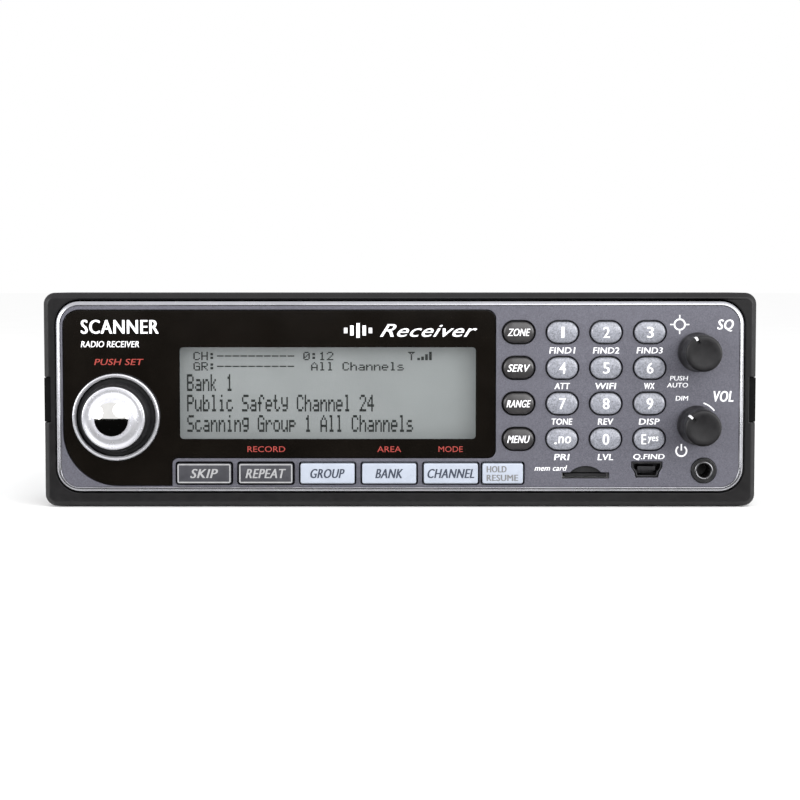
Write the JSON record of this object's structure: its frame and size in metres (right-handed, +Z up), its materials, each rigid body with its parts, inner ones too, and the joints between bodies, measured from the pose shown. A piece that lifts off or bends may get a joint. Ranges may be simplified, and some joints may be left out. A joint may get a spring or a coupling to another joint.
{
  "type": "radio scanner",
  "caption": "Mobile police radio scanner: DIN-size case, keypad, display behind a black window, scroll, volume and squelch knobs, rear connectors.",
  "frame": {"origin": "middle of the footprint, on the surface that the rubber feet stand on", "axes": "+Z up, the front panel faces -Y, +X to the right as seen from the front"},
  "size_m": [0.185, 0.1752, 0.0558],
  "materials": {
    "bezel_plastic": "fine texture",
    "fascia_paint": "metallic paint",
    "trim_plating": "plated plastic",
    "lens": "polished",
    "lcd": "polished",
    "frame_steel": "tinned",
    "light_guide": "clear",
    "control_body": "moulded",
    "shaft_metal": "turned",
    "knob_rubber": "soft touch",
    "socket_plastic": "moulded",
    "key_light": "satin",
    "key_dark": "satin",
    "key_grey": "satin",
    "key_white": "lit from behind",
    "silicone": "moulded",
    "circuit_board": "solder mask",
    "case_paint": "powder coat",
    "foot_rubber": "moulded",
    "screw_steel": "black zinc",
    "flat_cable": "film",
    "basket_steel": "pressed",
    "cone_paper": "pressed paper",
    "magnet": "ferrite and zinc",
    "connector_nickel": "nickel plated"
  },
  "bodies": {
    "case": {"front_bezel": "bezel_plastic", "fascia": "fascia_paint", "fascia_trim": "trim_plating", "display_lens": "lens", "lcd_panel": "lcd", "lcd_frame": "frame_steel", "backlight": "light_guide", "scroll_ring": "trim_plating", "scroll_encoder": "control_body", "volume_control": "control_body", "squelch_control": "control_body", "headphone_jack": "socket_plastic", "usb_socket": "frame_steel", "card_socket": "frame_steel", "key_mat": "silicone", "front_board": "circuit_board", "chassis": "case_paint", "top_cover": "case_paint", "feet": "foot_rubber", "case_screws": "screw_steel", "inner_screws": "screw_steel", "main_board": "circuit_board", "rf_shields": "frame_steel", "ribbon_cable": "flat_cable", "speaker_frame": "basket_steel", "speaker_cone": "cone_paper", "speaker_magnet": "magnet", "antenna_connector": "connector_nickel", "dc_jack": "socket_plastic", "serial_connector": "connector_nickel", "rear_jacks": "socket_plastic"},
    "scroll_turn": {"scroll_shaft": "shaft_metal"},
    "scroll_push": {"scroll_knob": "trim_plating"},
    "volume_turn": {"volume_shaft": "shaft_metal"},
    "volume_push": {"volume_knob": "knob_rubber"},
    "squelch_turn": {"squelch_shaft": "shaft_metal"},
    "squelch_push": {"squelch_knob": "knob_rubber"},
    "card": {"memory_card": "socket_plastic"},
    "key_1": {"key_1": "key_light"},
    "key_2": {"key_2": "key_light"},
    "key_3": {"key_3": "key_light"},
    "key_4": {"key_4": "key_light"},
    "key_5": {"key_5": "key_light"},
    "key_6": {"key_6": "key_light"},
    "key_7": {"key_7": "key_light"},
    "key_8": {"key_8": "key_light"},
    "key_9": {"key_9": "key_light"},
    "key_point": {"key_point": "key_light"},
    "key_0": {"key_0": "key_light"},
    "key_enter": {"key_enter": "key_light"},
    "function_key_1": {"function_key_1": "key_dark"},
    "function_key_2": {"function_key_2": "key_dark"},
    "function_key_3": {"function_key_3": "key_dark"},
    "function_key_4": {"function_key_4": "key_dark"},
    "soft_key_1": {"soft_key_1": "key_grey"},
    "soft_key_2": {"soft_key_2": "key_grey"},
    "soft_key_3": {"soft_key_3": "key_white"},
    "soft_key_4": {"soft_key_4": "key_white"},
    "soft_key_5": {"soft_key_5": "key_white"},
    "soft_key_6": {"soft_key_6": "key_white"}
  },
  "joints": [
    {"name": "scroll_rotate", "type": "hinge", "parent": "case", "child": "scroll_turn", "pos_m": [-0.0736, -0.075, 0.0236], "axis": [0, 1, 0], "continuous": true},
    {"name": "scroll_press", "type": "slide", "parent": "scroll_turn", "child": "scroll_push", "axis": [0, 1, 0], "range_m": [0, 0.0008], "stiffness_N_per_m": 600, "springref_m": -0.0006},
    {"name": "volume_rotate", "type": "hinge", "parent": "case", "child": "volume_turn", "pos_m": [0.0768, -0.075, 0.0216], "axis": [0, 1, 0], "range_deg": [-102, 198]},
    {"name": "volume_press", "type": "slide", "parent": "volume_turn", "child": "volume_push", "axis": [0, 1, 0], "range_m": [0, 0.0008], "stiffness_N_per_m": 600, "springref_m": -0.0006},
    {"name": "squelch_rotate", "type": "hinge", "parent": "case", "child": "squelch_turn", "pos_m": [0.0768, -0.075, 0.0405], "axis": [0, 1, 0], "range_deg": [-123, 177]},
    {"name": "squelch_press", "type": "slide", "parent": "squelch_turn", "child": "squelch_push", "axis": [0, 1, 0], "range_m": [0, 0.0008], "stiffness_N_per_m": 600, "springref_m": -0.0006},
    {"name": "card_slide", "type": "slide", "parent": "case", "child": "card", "axis": [0, -1, 0], "range_m": [0, 0.013]},
    {"name": "key_1_press", "type": "slide", "parent": "case", "child": "key_1", "axis": [0, 1, 0], "range_m": [0, 0.0008], "stiffness_N_per_m": 600, "springref_m": -0.0006},
    {"name": "key_2_press", "type": "slide", "parent": "case", "child": "key_2", "axis": [0, 1, 0], "range_m": [0, 0.0008], "stiffness_N_per_m": 600, "springref_m": -0.0006},
    {"name": "key_3_press", "type": "slide", "parent": "case", "child": "key_3", "axis": [0, 1, 0], "range_m": [0, 0.0008], "stiffness_N_per_m": 600, "springref_m": -0.0006},
    {"name": "key_4_press", "type": "slide", "parent": "case", "child": "key_4", "axis": [0, 1, 0], "range_m": [0, 0.0008], "stiffness_N_per_m": 600, "springref_m": -0.0006},
    {"name": "key_5_press", "type": "slide", "parent": "case", "child": "key_5", "axis": [0, 1, 0], "range_m": [0, 0.0008], "stiffness_N_per_m": 600, "springref_m": -0.0006},
    {"name": "key_6_press", "type": "slide", "parent": "case", "child": "key_6", "axis": [0, 1, 0], "range_m": [0, 0.0008], "stiffness_N_per_m": 600, "springref_m": -0.0006},
    {"name": "key_7_press", "type": "slide", "parent": "case", "child": "key_7", "axis": [0, 1, 0], "range_m": [0, 0.0008], "stiffness_N_per_m": 600, "springref_m": -0.0006},
    {"name": "key_8_press", "type": "slide", "parent": "case", "child": "key_8", "axis": [0, 1, 0], "range_m": [0, 0.0008], "stiffness_N_per_m": 600, "springref_m": -0.0006},
    {"name": "key_9_press", "type": "slide", "parent": "case", "child": "key_9", "axis": [0, 1, 0], "range_m": [0, 0.0008], "stiffness_N_per_m": 600, "springref_m": -0.0006},
    {"name": "key_point_press", "type": "slide", "parent": "case", "child": "key_point", "axis": [0, 1, 0], "range_m": [0, 0.0008], "stiffness_N_per_m": 600, "springref_m": -0.0006},
    {"name": "key_0_press", "type": "slide", "parent": "case", "child": "key_0", "axis": [0, 1, 0], "range_m": [0, 0.0008], "stiffness_N_per_m": 600, "springref_m": -0.0006},
    {"name": "key_enter_press", "type": "slide", "parent": "case", "child": "key_enter", "axis": [0, 1, 0], "range_m": [0, 0.0008], "stiffness_N_per_m": 600, "springref_m": -0.0006},
    {"name": "function_key_1_press", "type": "slide", "parent": "case", "child": "function_key_1", "axis": [0, 1, 0], "range_m": [0, 0.0008], "stiffness_N_per_m": 600, "springref_m": -0.0006},
    {"name": "function_key_2_press", "type": "slide", "parent": "case", "child": "function_key_2", "axis": [0, 1, 0], "range_m": [0, 0.0008], "stiffness_N_per_m": 600, "springref_m": -0.0006},
    {"name": "function_key_3_press", "type": "slide", "parent": "case", "child": "function_key_3", "axis": [0, 1, 0], "range_m": [0, 0.0008], "stiffness_N_per_m": 600, "springref_m": -0.0006},
    {"name": "function_key_4_press", "type": "slide", "parent": "case", "child": "function_key_4", "axis": [0, 1, 0], "range_m": [0, 0.0008], "stiffness_N_per_m": 600, "springref_m": -0.0006},
    {"name": "soft_key_1_press", "type": "slide", "parent": "case", "child": "soft_key_1", "axis": [0, 1, 0], "range_m": [0, 0.0008], "stiffness_N_per_m": 600, "springref_m": -0.0006},
    {"name": "soft_key_2_press", "type": "slide", "parent": "case", "child": "soft_key_2", "axis": [0, 1, 0], "range_m": [0, 0.0008], "stiffness_N_per_m": 600, "springref_m": -0.0006},
    {"name": "soft_key_3_press", "type": "slide", "parent": "case", "child": "soft_key_3", "axis": [0, 1, 0], "range_m": [0, 0.0008], "stiffness_N_per_m": 600, "springref_m": -0.0006},
    {"name": "soft_key_4_press", "type": "slide", "parent": "case", "child": "soft_key_4", "axis": [0, 1, 0], "range_m": [0, 0.0008], "stiffness_N_per_m": 600, "springref_m": -0.0006},
    {"name": "soft_key_5_press", "type": "slide", "parent": "case", "child": "soft_key_5", "axis": [0, 1, 0], "range_m": [0, 0.0008], "stiffness_N_per_m": 600, "springref_m": -0.0006},
    {"name": "soft_key_6_press", "type": "slide", "parent": "case", "child": "soft_key_6", "axis": [0, 1, 0], "range_m": [0, 0.0008], "stiffness_N_per_m": 600, "springref_m": -0.0006}
  ]
}
